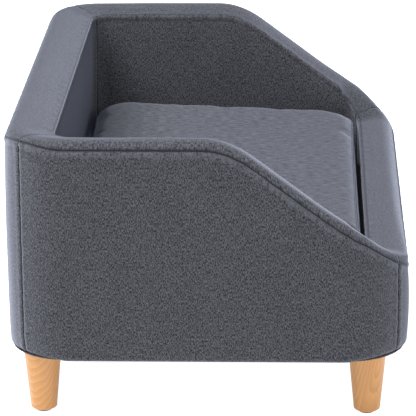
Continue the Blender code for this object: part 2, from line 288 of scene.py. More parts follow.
def woven_cloth(name, slub_share, spread):
    finish = Finish(name, Roughness=0.92, Sheen_Weight=0.36, Sheen_Roughness=0.47,
                    Sheen_Tint=tint(0.72, 0.76, 0.93), Specular_IOR_Level=0.22)
    cloth = finish.node("ShaderNodeUVMap", {"uv_map": "cloth"})

    def spun(scale, shift=(0.0, 0.0, 0.0), detail=0.0):
        return finish.noise(finish.scaled(cloth, scale, shift), detail=detail)

    warp = spun((THREAD, THREAD * THREAD_STRETCH, 1.0))
    weft = spun((THREAD * THREAD_STRETCH, THREAD, 1.0), (3.1, 7.7, 0.0))
    fleck = spun((THREAD, THREAD * FLECK_STRETCH, 1.0), (9.3, 1.7, 0.0))
    slub = spun((SLUB, SLUB * SLUB_STRETCH, 1.0), (5.0, 2.0, 0.0), detail=1.0)
    cloud = spun(CLOUD, detail=2.0)
    threads = warp * WARP_SHARE + weft * WEFT_SHARE + fleck * FLECK_SHARE
    weave = threads * (1 - slub_share) + slub * slub_share
    # The allowance value paints light on the hem ridge: paler where the slubs are thick, a little
    # darker between them.
    allowance_painted_light = finish.node("ShaderNodeAttribute", {"attribute_name": "allowance_painted_light"}, out="Fac")
    raised = weave + (cloud - 0.5) * CLOUD_SHARE + allowance_painted_light * (slub * 0.4 - 0.12)
    lightness = raised.between(0.5 - spread, 0.5 + spread)
    # The seam value paints shade into the seam valleys, over the cloth's own colour.
    seam = finish.node("ShaderNodeAttribute", {"attribute_name": "seam"}, out="Fac")
    colour = finish.blend(lightness, CLOTH_DARK, CLOTH_LIGHT)
    finish.feed("Base Color", finish.blend(seam, colour, PAINTED_SEAM_SHADE))
    finish.feed("Normal", finish.bump(weave, WEAVE_RELIEF, 0.5))
    return finish.material


SOFA_CLOTH = woven_cloth("slate_melange_cloth", 0.15, 0.110)
CUSHION_CLOTH = woven_cloth("cushion_melange_cloth", 0.56, 0.170)
print("cloth finishes", SOFA_CLOTH.name, CUSHION_CLOTH.name)

# %% [markdown]
# ## Wood, metal and the plain cloths
# The legs are beech under a satin lacquer: pale orange, with rings that show as nested arches
# where the taper cuts across them, and short brown flecks. A `grain` value on each leg holds
# its own place in the log, so no two legs match. The hidden boards are birch ply and sawn
# pine, the fittings zinc-plated steel, and the cloth under the body is a black nonwoven felt.

# %% Wood


def grained_wood(name, pale, deep, fleck_colour, coordinates, ring_scale, roughness, coat=0.0):
    finish = Finish(name, Roughness=roughness, Coat_Weight=coat, Coat_Roughness=0.25)
    if coordinates == "grain":
        place = finish.node("ShaderNodeAttribute", {"attribute_name": "grain"}, out="Vector")
    else:
        place = finish.node("ShaderNodeTexCoord", out="Object")
    drift = finish.noise(finish.scaled(place, (30.0, 30.0, 7.0)), detail=3.0)
    settings = {"wave_type": "RINGS", "rings_direction": "Z", "wave_profile": "SAW"}
    moved = finish.node("ShaderNodeVectorMath", {"operation": "MULTIPLY_ADD"},
                        {0: finish.node("ShaderNodeCombineXYZ", None, {0: drift, 1: drift, 2: 0.0}),
                         1: (0.010, 0.010, 0.0), 2: place})
    rings = finish.node("ShaderNodeTexWave", settings,
                        {"Vector": moved, "Scale": ring_scale, "Distortion": 1.2, "Detail": 2.0,
                         "Detail Scale": 1.5}, out=1)
    streaks = finish.noise(finish.scaled(place, (700.0, 700.0, 28.0)), detail=2.0)
    flecks = finish.noise(finish.scaled(place, (900.0, 900.0, 150.0), (4.0, 2.0, 0.0)), detail=0.0)
    colour = finish.blend(rings * 0.55 + streaks * 0.35, pale, deep)
    colour = finish.blend(flecks.between(0.66, 0.78) * 0.5, colour, fleck_colour)
    finish.feed("Base Color", colour)
    finish.feed("Roughness", streaks * 0.18 + (roughness - 0.09))
    finish.feed("Normal", finish.bump(streaks + rings * 0.5, 0.00025, 0.35))
    return finish.material


BEECH = grained_wood("lacquered_beech", tint(0.432, 0.200, 0.041), tint(0.290, 0.112, 0.017),
                     tint(0.36, 0.150, 0.045), "grain", 75.0, 0.42, coat=0.12)
PLYWOOD = grained_wood("birch_plywood", tint(0.66, 0.50, 0.31), tint(0.50, 0.35, 0.19),
                       tint(0.30, 0.19, 0.10), "object", 14.0, 0.65)
PINE = grained_wood("sawn_pine", tint(0.70, 0.52, 0.29), tint(0.52, 0.33, 0.15),
                    tint(0.30, 0.17, 0.07), "object", 30.0, 0.70)

# %% Metal, felt, foam and zip


def brushed_metal(name, colour, roughness, metallic):
    finish = Finish(name, Metallic=metallic)
    place = finish.node("ShaderNodeTexCoord", out="Object")
    marks = finish.noise(finish.scaled(place, (260.0, 260.0, 2600.0)), detail=2.0)
    stain = finish.noise(place, 90.0, detail=3.0)
    dull = tuple(channel * 0.62 for channel in colour[:3]) + (1.0,)
    finish.feed("Base Color", finish.blend(stain.between(0.45, 0.75), colour, dull))
    finish.feed("Roughness", marks * 0.25 + (roughness - 0.12))
    finish.feed("Normal", finish.bump(marks, 0.00008, 0.4))
    return finish.material


def matted_fibre(name, colour, pale, scale, roughness=0.96):
    finish = Finish(name, Roughness=roughness, Sheen_Weight=0.1)
    place = finish.node("ShaderNodeTexCoord", out="Object")
    tangle = finish.noise(place, scale, detail=4.0, roughness=0.7)
    pits = finish.noise(place, scale * 2.7, detail=1.0)
    finish.feed("Base Color", finish.blend(tangle.between(0.3, 0.7), colour, pale))
    finish.feed("Normal", finish.bump(tangle + pits * 0.5, 0.0006, 0.6))
    return finish.material


ZINC = brushed_metal("zinc_plated_steel", tint(0.40, 0.40, 0.39), 0.36, 1.0)
DARK_STEEL = brushed_metal("dark_nickel_glide", tint(0.060, 0.058, 0.060), 0.34, 0.80)
BLACK_FELT = matted_fibre("black_nonwoven", tint(0.010, 0.010, 0.011),
                          tint(0.026, 0.026, 0.028), 900.0)
FOAM = matted_fibre("open_cell_foam", tint(0.50, 0.49, 0.44), tint(0.66, 0.65, 0.60), 1300.0)
ZIP_TAPE = matted_fibre("woven_zip_tape", tint(0.022, 0.023, 0.029),
                        tint(0.050, 0.052, 0.062), 1500.0, 0.8)
ZIP_COIL = matted_fibre("nylon_zip_coil", tint(0.045, 0.047, 0.055),
                        tint(0.085, 0.088, 0.10), 700.0, 0.35)

# %% [markdown]
# ## Cloth pieces
# A cloth piece starts as a flat grid, the way a panel starts as a cut piece of cloth. Each of
# its points is then laid on the body by a function of two numbers, s along the wall and t
# across the piece. The grid is finer towards its edges, where cloth turns sharply into a
# seam. The same function hands back where the point lay on the flat cloth, which becomes the
# cloth map. A Solidify modifier gives the sheet its thickness, inwards from the laid face.

# %% Laying cloth

CLOTH_THICKNESS = 0.0022
EDGE_CROWDING = 0.72


def deselect():
    if bpy.context.object and bpy.context.object.mode != "OBJECT":
        bpy.ops.object.mode_set(mode="OBJECT")
    bpy.ops.object.select_all(action="DESELECT")


def crowded(share):
    """The same 0 to 1, with its ends drawn closer together."""
    return share - EDGE_CROWDING * math.sin(2 * math.pi * share) / (2 * math.pi)


def even_route(layer, start, end, samples=400):
    """Lengths along a layer and the u at each, so that cloth can be measured along it."""
    marks = np.linspace(start, end, samples)
    points = np.array([layer.at(u)[0] for u in marks])
    steps = np.hypot(*np.diff(points, axis=0).T)
    return np.concatenate([[0.0], np.cumsum(steps)]), marks


def lay_cloth(name, columns, rows, place):
    """A grid laid by place(s, t), which gives a point, its cloth map, its painted seam shade and its
    painted hem light.
    """
    deselect()
    bpy.ops.mesh.primitive_grid_add(x_subdivisions=columns, y_subdivisions=rows, size=1.0)
    piece = bpy.context.active_object
    piece.name = name
    mesh = piece.data
    laid = [place(crowded(v.co.x + 0.5), v.co.y + 0.5) for v in mesh.vertices]
    mesh.vertices.foreach_set("co", [c for point, _, _, _ in laid for c in point])
    layer = mesh.uv_layers.active or mesh.uv_layers.new()
    layer.name = "cloth"
    for loop in mesh.loops:
        layer.data[loop.index].uv = laid[loop.vertex_index][1]
    # The third and fourth values are painted seam shade and painted hem light, kept on the mesh for
    # the cloth's colour.
    for attribute, index in (("seam", 2), ("allowance_painted_light", 3)):
        values = mesh.attributes.new(attribute, "FLOAT", "POINT")
        values.data.foreach_set("value", [entry[index] for entry in laid])
    mesh.update()
    thicken = piece.modifiers.new("thickness", "SOLIDIFY")
    thicken.thickness = CLOTH_THICKNESS
    thicken.offset = -1.0
    bpy.ops.object.modifier_apply(modifier=thicken.name)
    bpy.ops.object.shade_smooth()
    return piece


def hold(piece, body, slot, material, *nodes):
    """Give a finished piece its material and its body, and hide the nodes that it stands for. The
    slot is not used.
    """
    piece.data.materials.clear()
    piece.data.materials.append(material)
    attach(piece, body)
    if nodes:
        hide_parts(*nodes)
    return piece


def bell(value, centre, width):
    return math.exp(-((value - centre) / width) ** 2)


# %% [markdown]
# ## Outer panels
# Each outer panel runs from the middle of one corner to the middle of the next, where it is
# sewn to its neighbour. Below, it is pulled round the bottom edge and stapled underneath. At
# the top it is sewn to the band, and the two hems folded behind it push out a strip as wide
# as a fingertip. The seams pull the cloth in and pucker it, and pleats form where it is
# drawn under a round corner.

# %% Seam lines

SEAM_DROP = 0.0060
INNER_DROP = 0.0030
BACK_CORNER_LIFT = 0.0065
BACK_OVERHANG = 0.0060
LEFT_CORNER_PUFF = 0.0002
LEFT_BAND_PUFF = 0.0075
RIGHT_CORNER_PUFF = -0.0004


def corner_share(u):
    """1 in the middle of a corner, and 0 on the straight sides."""
    leg = math.floor(u) % 8
    along = u - math.floor(u)
    return math.sin(math.pi * along) if leg % 2 else 0.0


def corner_puff(u):
    """How far the wadding of a front corner stands out at its top. No two are quite alike."""
    return LEFT_CORNER_PUFF * bell(u % 8, 3.85, 0.30) + RIGHT_CORNER_PUFF * bell(u % 8, 5.4, 0.35)


def back_corner(u):
    return corner_share(u) ** 1.5 if math.floor(u) % 8 in (1, 7) else 0.0


def outer_seam(u):
    """Plan point, outward direction and height of the seam between a panel and a band."""
    point, outward = OUTSIDE.at(u)
    return point, outward, rim_height(point) - SEAM_DROP + BACK_CORNER_LIFT * back_corner(u)


def inner_seam(u):
    """The same for the seam between a band and a lining, with how far the back overhangs."""
    point, outward = INSIDE.at(u)
    overhang = BACK_OVERHANG * max(outward.y, 0.0)
    return point, outward, rim_height(point) - INNER_DROP, overhang


def pucker(along, across, period, depth):
    """Shallow waves beside a seam, uneven in their spacing."""
    drift = noise.noise(Vector((along * 38.0, across * 9.0, 0.3)))
    return depth * math.sin(2 * math.pi * along / period + 4.0 * drift)


def ripple(u, height):
    """The slow unevenness of cloth over wadding."""
    return noise.noise(Vector((u * 3.1, height * 9.0, 1.7)))


# %% Outer panels

SEAM_TUCK = 0.0015
TUCK_REACH = 0.0010
# Widths of the painted shade along the seams.
SEAM_LINE = 0.0011
SIDE_SEAM_LINE = 0.0009
# The hem strip both puffs the cloth out and carries painted light; its edge softens over
# ALLOWANCE_EDGE.
ALLOWANCE = 0.0080
ALLOWANCE_EDGE = 0.0008
HEM_PUFF = 0.0010
PANEL_CROWN = 0.0022
PANEL_INSET = 0.0008
PANEL_RIPPLE = 0.0009
PANEL_FOOT = 0.07
CORNER_PUFF_REACH = 0.050
PLEAT_TURN = 520.0
PLEAT_DEPTH = 0.0012
PLEAT_RISE = 0.0009
FOLD_RADIUS = 0.0066
FOLD_UNDER = 0.0068
FOLD_BOTTOM = BODY_BOTTOM - CLOTH_THICKNESS - 0.0004
CORNER_HEM_LIFT = 0.0027
CORNER_HEM_TUCK = 0.0032
CORNER_HEM_HEIGHT = 0.024
ROW_STEP = 0.0042


def hem_painted_light(below, seam):
    """Painted light on the ridge of folded hem beside a seam: 1 on the strip, 0 past it, and less in
    the seam itself.
    """
    return 1.0 / (1.0 + math.exp((below - ALLOWANCE) / ALLOWANCE_EDGE)) * (1 - 0.8 * seam)


def hem_fold(travel, foot):
    """Offset and height along the fold round the bottom edge, from its hidden end upwards."""
    flat = FOLD_UNDER - FOLD_RADIUS
    quarter = FOLD_RADIUS * math.pi / 2
    if travel < flat:
        return travel - FOLD_UNDER, foot
    if travel < flat + quarter:
        angle = (travel - flat) / FOLD_RADIUS
        return FOLD_RADIUS * (math.sin(angle) - 1), foot + FOLD_RADIUS * (1 - math.cos(angle))
    return 0.0, foot + FOLD_RADIUS + travel - flat - quarter


def panel_offset(u, z, below, beside, along, foot, seam_z):
    """How far a panel stands out from the plain wall: crown, hems, seams and puckers."""
    free = math.sin(math.pi * min(max((z - foot) / (seam_z - foot), 0.0), 1.0))
    offset = PANEL_CROWN * free ** 0.6 * (1 - 0.5 * corner_share(u)) - PANEL_INSET
    offset += PANEL_RIPPLE * ripple(u, z) * free
    offset += corner_puff(u) * math.exp(-below / CORNER_PUFF_REACH)
    offset += HEM_PUFF * bell(below, ALLOWANCE * 0.5, ALLOWANCE * 0.45)
    offset -= 0.4 * HEM_PUFF * bell(below, ALLOWANCE * 1.3, 0.002)
    offset += 0.6 * HEM_PUFF * bell(beside, ALLOWANCE * 0.6, ALLOWANCE * 0.5)
    offset -= SEAM_TUCK * (math.exp(-below / TUCK_REACH) + math.exp(-beside / TUCK_REACH))
    offset += pucker(z, u, 0.017, 0.0004) * bell(beside, 0.004, 0.006)
    offset += pucker(along, z, 0.021, 0.00025) * bell(below, 0.004, 0.006)
    return offset


def outer_panel(side):
    start, end = SEAMS[side]
    lengths, marks = even_route(OUTSIDE, start, end)
    total = lengths[-1]

    def place(s, t):
        along = s * total
        u = float(np.interp(along, lengths, marks))
        plan, outward, seam_z = outer_seam(u)
        round_corner = corner_share(u)
        foot = FOLD_BOTTOM + CORNER_HEM_LIFT * round_corner
        cloth_length = FOLD_UNDER - FOLD_RADIUS + FOLD_RADIUS * (math.pi / 2 - 1) + seam_z - foot
        offset, z = hem_fold(crowded(t) * cloth_length, foot)
        below = seam_z - z
        beside = min(along, total - along)
        offset += panel_offset(u, z, below, beside, along, foot, seam_z)
        low_down = max(1 - (z - foot) / CORNER_HEM_HEIGHT, 0.0)
        drift = noise.noise(Vector((along * 30.0, 0.0, 5.0)))
        pleat = max(math.sin(along * PLEAT_TURN + 3.0 * drift), 0.0) ** 3
        tuck = CORNER_HEM_TUCK * low_down ** 2 + PLEAT_DEPTH * pleat * low_down ** 4
        offset -= tuck * round_corner
        z += PLEAT_RISE * pleat * round_corner * low_down ** 8
        point = plan + outward * offset
        # Painted shade in the seam valleys, and painted light on the hem ridge below the top seam.
        seam = max(bell(below, 0.0, SEAM_LINE), bell(beside, 0.0, SIDE_SEAM_LINE))
        return (point.x, point.y, z), (along, z), seam, hem_painted_light(below, seam)

    tall = FRONT_HEIGHT if side == "front" else BACK_HEIGHT
    columns = round(total / ROW_STEP)
    rows = round((tall - PANEL_FOOT) / ROW_STEP)
    piece = lay_cloth(f"{side}_panel_cloth", columns, rows, place)
    return hold(piece, "frame", "slate_linen", SOFA_CLOTH, f"{side}_outer_panel")


for side in SEAMS:
    panel = outer_panel(side)
    print(panel.name, len(panel.data.polygons), "faces")

# %% [markdown]
# ## Top bands
# The band is a strip as wide as the wall, cut in four lengths and mitred at the corners. Its
# foam presses it up into a low pillow between its two seams. The pillow is fullest over the
# board, near the outer seam, and falls away towards the well, so its section is drawn as a
# rounded hump that is steep beside the seams and leans outwards.

# %% Top bands

BAND_CROWN = 0.0160
BAND_FULLNESS = 2.4
BAND_ROUNDNESS = 0.80
BAND_LEAN = 0.90
BAND_ROWS = 28
MITRE_TUCK = 0.0014
MITRE_REACH = 0.0020
# Width of the painted shade in the mitre seam.
MITRE_LINE = 0.0008
BAND_RIPPLE = 0.0010


def top_band(side):
    start, end = SEAMS[side]
    lengths, marks = even_route(OUTSIDE, start, end)
    total = lengths[-1]

    def place(s, t):
        along = s * total
        u = float(np.interp(along, lengths, marks))
        outer, outward, outer_z = outer_seam(u)
        inner, _, inner_z, overhang = inner_seam(u)
        inner = inner - outward * overhang
        across = 0.5 - 0.5 * math.cos(math.pi * t)
        width = (outer - inner).length
        from_outer = across * width
        from_inner = width - from_outer
        beside = min(along, total - along) * 0.75
        fullness = max(1 - abs(2 * across - 1) ** BAND_FULLNESS, 0.0) ** BAND_ROUNDNESS
        fullness *= 1 - BAND_LEAN * across
        fullness *= 1 - 0.45 * back_corner(u)
        shift = (corner_puff(u) - PANEL_INSET) * (1 - across)
        shift += LEFT_BAND_PUFF * bell(u % 8, 3.85, 0.30) * bell(across, 0.16, 0.13)
        pull = math.exp(-from_outer / TUCK_REACH) - math.exp(-from_inner / TUCK_REACH)
        shift -= 0.6 * SEAM_TUCK * pull
        point = outer.lerp(inner, across) + outward * shift
        z = outer_z * (1 - across) + inner_z * across
        z += BAND_CROWN * fullness + BAND_RIPPLE * ripple(u, across) * fullness
        z -= MITRE_TUCK * math.exp(-beside / MITRE_REACH) * (0.3 + 0.7 * min(fullness, 1.0))
        z += pucker(from_outer, u, 0.019, 0.0003) * bell(beside, 0.003, 0.005)
        near_seams = bell(across, 0.10, 0.08) + bell(across, 0.90, 0.08)
        z += pucker(along, across, 0.023, 0.00025) * near_seams
        # Painted shade in both seam valleys, and a lighter painted shade in the mitre.
        seam = max(bell(from_outer, 0.0, SEAM_LINE), bell(from_inner, 0.0, SEAM_LINE),
                   0.75 * bell(beside, 0.0, MITRE_LINE))
        return (point.x, point.y, z), (along, from_outer), seam, 0.0

    piece = lay_cloth(f"{side}_band_cloth", round(total / ROW_STEP), BAND_ROWS, place)
    return hold(piece, "frame", "slate_linen", SOFA_CLOTH, f"{side}_top_band")


for side in SEAMS:
    band = top_band(side)
    print(band.name, len(band.data.polygons), "faces")

# %% [markdown]
# ## Linings
# The linings face the dog. They hang from the inner seam down to the deck, over thicker foam
# than the outer panels, so they bulge a little more and meet the deck out of sight. The
# cushion holds the cloth flat beside it, so only the part above the cushion bulges. The foam
# of the back is the thickest at its top, where it overhangs the cushion.

# %% Linings

LINING_CROWN = 0.0035
OVERHANG_DEPTH = 0.060
LINING_FREE_ABOVE = 0.190
LEAST_FREE = 0.020
LINING_LOFT = 0.0001
LINING_RIPPLE = 0.0010
# Width of the painted shade along the lining's seams.
LINING_SEAM_LINE = 0.0008
FRONT_LINING_HEIGHT = 0.11


def lining(side):
    start, end = SEAMS[side]
    lengths, marks = even_route(INSIDE, start, end)
    total = lengths[-1]

    def place(s, t):
        along = s * total
        u = float(np.interp(along, lengths, marks))
        face, outward, seam_z, overhang = inner_seam(u)
        below = crowded(t) * (seam_z - DECK_TOP)
        z = seam_z - below
        beside = min(along, total - along)
        free = math.sin(math.pi * min(below / max(seam_z - LINING_FREE_ABOVE, LEAST_FREE), 1.0))
        inward = LINING_CROWN * free ** 0.7 * (1 - 0.6 * corner_share(u)) + LINING_LOFT
        inward += LINING_RIPPLE * ripple(u + 11.0, z) * free
        inward += overhang * math.exp(-below / OVERHANG_DEPTH)
        inward += HEM_PUFF * bell(below, ALLOWANCE * 0.5, ALLOWANCE * 0.45)
        inward -= 0.4 * HEM_PUFF * bell(below, ALLOWANCE * 1.3, 0.002)
        inward -= SEAM_TUCK * (math.exp(-below / TUCK_REACH) + 0.7 * math.exp(-beside / TUCK_REACH))
        inward += pucker(along, z, 0.021, 0.00025) * bell(below, 0.004, 0.006)
        point = face - outward * inward
        # Painted shade in the seam valleys, and half the painted hem light below the top seam.
        seam = max(bell(below, 0.0, LINING_SEAM_LINE), 0.7 * bell(beside, 0.0, LINING_SEAM_LINE))
        return (point.x, point.y, z), (along, z), seam, 0.5 * hem_painted_light(below, seam)

    tall = FRONT_LINING_HEIGHT if side == "front" else BACK_HEIGHT - DECK_TOP
    columns = round(total / ROW_STEP)
    piece = lay_cloth(f"{side}_lining_cloth", columns, round(tall / ROW_STEP), place)
    return hold(piece, "frame", "slate_linen", SOFA_CLOTH, f"{side}_lining")


for side in SEAMS:
    face_cloth = lining(side)
    print(face_cloth.name, len(face_cloth.data.polygons), "faces")

# %% [markdown]
# ## The loose cushion
# A boxed cushion: two rounded panels joined by a strip round the sides. It is blown up like
# the real one is filled. A slab a little smaller than the finished cushion is meshed evenly,
# given a Cloth modifier with pressure inside it, and stepped for twenty frames. Each point is
# then held to a few millimetres of its start, because foam lets a cover swell only so far.
# The top is made fuller towards the back and the right, the cover is drawn in behind the
# zip, and the foam core is drawn a little small, as a tight cover squeezes it.

# %% Cushion body

CUSHION_LOW = low("cushion_cover")
CUSHION_HIGH = high("cushion_cover")
CUSHION_CORNER = 0.048
CUSHION_ROUNDING = 0.009
CUSHION_START_INSET = 0.0035
CUSHION_VOXEL = 0.0055
SWELL_CAP = 0.0060
SIDE_CAP = 0.0042
SHRINK_SHARE = 0.1
FOAM_SQUEEZE = 0.0090
FULLER = 0.0225
FRONT_SPREAD = 0.0060
TILT_RIGHT = 0.68
TILT_BACK = 0.32
ZIP_EASE = 0.008
ZIP_REACH = 0.006
ZIP_BEHIND = 0.0004
CUSHION_FRAMES = 20


def select_edges(mesh, wanted):
    """Select the edges for which wanted(first point, second point) is true."""
    for edge in mesh.edges:
        first, second = (mesh.vertices[k].co for k in edge.vertices)
        edge.select = wanted(first, second)


def cushion_slab():
    """A box at the cushion's size, with round corners in plan and softened edges."""
    deselect()
    centre = (CUSHION_LOW + CUSHION_HIGH) / 2
    size = CUSHION_HIGH - CUSHION_LOW - Vector((2, 2, 2)) * CUSHION_START_INSET
    bpy.ops.mesh.primitive_cube_add(size=1.0, location=centre)
    slab = bpy.context.active_object
    slab.name = "cushion_cloth_cover"
    slab.scale = size
    bpy.ops.object.transform_apply(location=True, rotation=True, scale=True)
    bpy.ops.object.mode_set(mode="EDIT")
    bpy.ops.mesh.select_mode(type="EDGE")
    bpy.ops.mesh.select_all(action="DESELECT")
    bpy.ops.object.mode_set(mode="OBJECT")
    select_edges(slab.data, lambda a, b: abs(a.z - b.z) > size.z / 2)
    bpy.ops.object.mode_set(mode="EDIT")
    bpy.ops.mesh.bevel(offset=CUSHION_CORNER, segments=12, affect="EDGES")
    bpy.ops.mesh.select_all(action="DESELECT")
    bpy.ops.object.mode_set(mode="OBJECT")
    select_edges(slab.data, lambda a, b: abs(a.z - b.z) < size.z / 2)
    bpy.ops.object.mode_set(mode="EDIT")
    bpy.ops.mesh.bevel(offset=CUSHION_ROUNDING, segments=4, affect="EDGES")
    bpy.ops.object.mode_set(mode="OBJECT")
    return slab


def points_of(mesh):
    flat = np.empty(len(mesh.vertices) * 3, np.float32)
    mesh.vertices.foreach_get("co", flat)
    return flat.reshape(-1, 3)


def remesh(piece, voxel):
    modifier = piece.modifiers.new("even mesh", "REMESH")
    modifier.mode = "VOXEL"
    modifier.voxel_size = voxel
    bpy.ops.object.modifier_apply(modifier=modifier.name)


def inflate(piece):
    """Blow the slab up as cloth, and keep each point near where it began."""
    start = points_of(piece.data).copy()
    cloth = piece.modifiers.new("swell", "CLOTH")
    cloth.settings.quality = 4
    cloth.settings.mass = 0.25
    cloth.settings.tension_stiffness = 12.0
    cloth.settings.compression_stiffness = 12.0
    cloth.settings.shear_stiffness = 5.0
    cloth.settings.bending_stiffness = 0.6
    cloth.settings.use_pressure = True
    cloth.settings.uniform_pressure_force = 4.0
    cloth.settings.effector_weights.gravity = 0.0
    cloth.collision_settings.use_collision = False
    for step in range(1, CUSHION_FRAMES + 1):
        bpy.context.scene.frame_set(step)
    bpy.ops.object.modifier_apply(modifier=cloth.name)
    bpy.context.scene.frame_set(1)
    facing = np.sign(start - np.array((CUSHION_LOW + CUSHION_HIGH) / 2, np.float32))
    swell = (points_of(piece.data) - start) * facing
    moved = np.where(swell < 0, swell * SHRINK_SHARE, swell) * facing
    caps = np.array([SIDE_CAP, SIDE_CAP, SWELL_CAP], np.float32)
    settled = start + caps * np.tanh(moved / caps)
    settled[:, 2] = np.maximum(settled[:, 2], CUSHION_LOW.z)
    piece.data.vertices.foreach_set("co", settled.ravel())
    piece.data.update()


def lean_fuller(piece):
    """The foam is fuller towards the back and the right, where nobody has lain on it yet."""
    middle = (CUSHION_LOW + CUSHION_HIGH) / 2
    half = (CUSHION_HIGH - CUSHION_LOW) / 2
    for vertex in piece.data.vertices:
        x = (vertex.co.x - middle.x) / half.x
        y = (vertex.co.y - middle.y) / half.y
        lifted = max((vertex.co.z - middle.z) / half.z, 0.0)
        tilt = TILT_RIGHT * x + TILT_BACK * y
        vertex.co.z += FULLER * (0.6 * tilt + 0.4 * tilt ** 2) * min(lifted, 1.0)
        vertex.co.y -= FRONT_SPREAD * max(-y, 0.0) * (0.75 - 0.25 * x)


def foam_core():
    """The foam block as the tight cover leaves it: a few millimetres smaller all round."""
    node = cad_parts["cushion_foam"]
    core = bpy.data.objects.new("squeezed_cushion_foam", node.data.copy())
    bpy.context.collection.objects.link(core)
    middle = (low("cushion_foam") + high("cushion_foam")) / 2
    half = (high("cushion_foam") - low("cushion_foam")) / 2
    for vertex in core.data.vertices:
        offset = node.matrix_world @ vertex.co - middle
        vertex.co = middle + Vector([c * (1 - FOAM_SQUEEZE / h) for c, h in zip(offset, half)])
    hold(core, "cushion", "grey_foam", FOAM, "cushion_foam")


def recess_zip(piece):
    """Draw the cover in behind the zip, so that the tape and its coil lie on the cloth."""
    tape_low = low("zip_tape")
    tape_high = high("zip_tape")
    for vertex in piece.data.vertices:
        point = vertex.co
        aside = max(tape_low.x - point.x, point.x - tape_high.x,
                    tape_low.z - point.z, point.z - tape_high.z, 0.0)
        if point.y > tape_low.y - ZIP_REACH and aside < ZIP_EASE:
            behind = tape_low.y - ZIP_BEHIND
            share = 0.5 + 0.5 * math.cos(math.pi * aside / ZIP_EASE)
            point.y += (min(point.y, behind) - point.y) * share


def cloth_map(piece):
    """Lay the cloth map in metres: flat over the top and bottom, and upright on the sides."""
    mesh = piece.data
    layer = mesh.uv_layers.active or mesh.uv_layers.new()
    layer.name = "cloth"
    for face in mesh.polygons:
        normal = face.normal
        for index in face.loop_indices:
            point = mesh.vertices[mesh.loops[index].vertex_index].co
            if abs(normal.z) > 0.5:
                layer.data[index].uv = (point.x, point.y)
            elif abs(normal.y) > abs(normal.x):
                layer.data[index].uv = (point.x, point.z)
            else:
                layer.data[index].uv = (point.y, point.z)


cushion = cushion_slab()
remesh(cushion, CUSHION_VOXEL)
inflate(cushion)
soften = cushion.modifiers.new("round", "SUBSURF")
soften.levels = 1
soften.render_levels = 1
bpy.ops.object.modifier_apply(modifier=soften.name)
lean_fuller(cushion)
recess_zip(cushion)
foam_core()
cloth_map(cushion)
bpy.ops.object.shade_smooth()
hold(cushion, "cushion", "slate_linen", CUSHION_CLOTH, "cushion_cover")
cushion_top = round(points_of(cushion.data)[:, 2].max(), 4)
print("cushion", len(cushion.data.polygons), "faces, top at", cushion_top)

# %% [markdown]
# ## The cushion's welts
# The top and bottom panels are sewn to the side strip with a plain felled seam, which stands
# up as a thin ridge and catches the light. Each is a closed cord, laid on the swollen cover by
# walking round the cushion's plan and finding the nearest point of the cloth.

# %% Welts

WELT_RADIUS = 0.0013
WELT_POINTS = 220
WELT_SEEK = 0.004
TOP_WELT_ABOVE = 0.004
BOTTOM_WELT_ABOVE = 0.002


def cord_along(name, route, radius, roundness, closed=False):
    """A thin round cord through the points of a route, as a mesh."""
    curve = bpy.data.curves.new(name, "CURVE")
    curve.dimensions = "3D"
    curve.bevel_depth = radius
    curve.bevel_resolution = roundness
    spline = curve.splines.new("POLY")
    spline.points.add(len(route) - 1)
    for point, place in zip(spline.points, route):
        point.co = (*place, 1.0)
    spline.use_cyclic_u = closed
    cord = bpy.data.objects.new(name, curve)
    bpy.context.collection.objects.link(cord)
    deselect()
    cord.select_set(True)
    bpy.context.view_layer.objects.active = cord
    bpy.ops.object.convert(target="MESH")
    bpy.ops.object.shade_smooth()
    return bpy.context.active_object


def welt(name, height):
    surface = BVHTree.FromObject(cushion, bpy.context.evaluated_depsgraph_get())
    inset_x = HALF_LENGTH - CUSHION_HIGH.x
    inset_y = HALF_DEPTH - CUSHION_HIGH.y
    inset_front = HALF_DEPTH + CUSHION_LOW.y
    plan = Layer(inset_x, inset_y, inset_front, CUSHION_CORNER)
    lengths, marks = even_route(plan, 0.0, 8.0)
    route = []
    for step in range(WELT_POINTS):
        u = float(np.interp(lengths[-1] * step / WELT_POINTS, lengths, marks))
        flat, outward = plan.at(u)
        seed = Vector((flat.x, flat.y, height)) + Vector((outward.x, outward.y, 0)) * WELT_SEEK
        route.append(surface.find_nearest(seed)[0])
    piece = cord_along(name, route, WELT_RADIUS, 3, closed=True)
    cloth_map(piece)
    return hold(piece, "cushion", "slate_linen", CUSHION_CLOTH)


welt("cushion_top_welt", CUSHION_HIGH.z + TOP_WELT_ABOVE)
welt("cushion_bottom_welt", CUSHION_LOW.z + BOTTOM_WELT_ABOVE)

# %% [markdown]
# ## The zip's coil
# A nylon zip closes on two coils of monofilament, one sewn along each tape. Closed, they mesh
# into a single ribbed row. It is drawn as one thin cord that steps from side to side along
# the middle of the tape, and it stops where the slider begins.

# %% Zip coil

COIL_PITCH = 0.0012
COIL_HALF_WIDTH = 0.0016
COIL_THREAD = 0.00045
COIL_SUNK = 0.00030
COIL_START = 0.004


def zip_coil():
    start = low("zip_tape").x + COIL_START
    end = low("zip_slider").x
    face = high("zip_tape").y
    middle = (low("zip_tape").z + high("zip_tape").z) / 2
    route = []
    for step in range(round((end - start) / COIL_PITCH) + 1):
        side = COIL_HALF_WIDTH if step % 2 else -COIL_HALF_WIDTH
        route.append((start + step * COIL_PITCH, face - COIL_SUNK, middle + side))
    coil = cord_along("zip_coil", route, COIL_THREAD, 2)
    return hold(coil, "cushion", "zip_nylon", ZIP_COIL)


print("zip coil", len(zip_coil().data.polygons), "faces")

# %% [markdown]
# ## Turned legs and glides
# A leg is turned on a lathe, and it is drawn the same way: a circle is extruded upwards and
# scaled at each step of the profile. The steps are a rounded foot, a long straight taper and
# a sharp top edge under the body. The glide is a flat steel stud with a rounded edge, which
# keeps the wood off the floor.

# %% Turning

TURNED_SIDES = 72


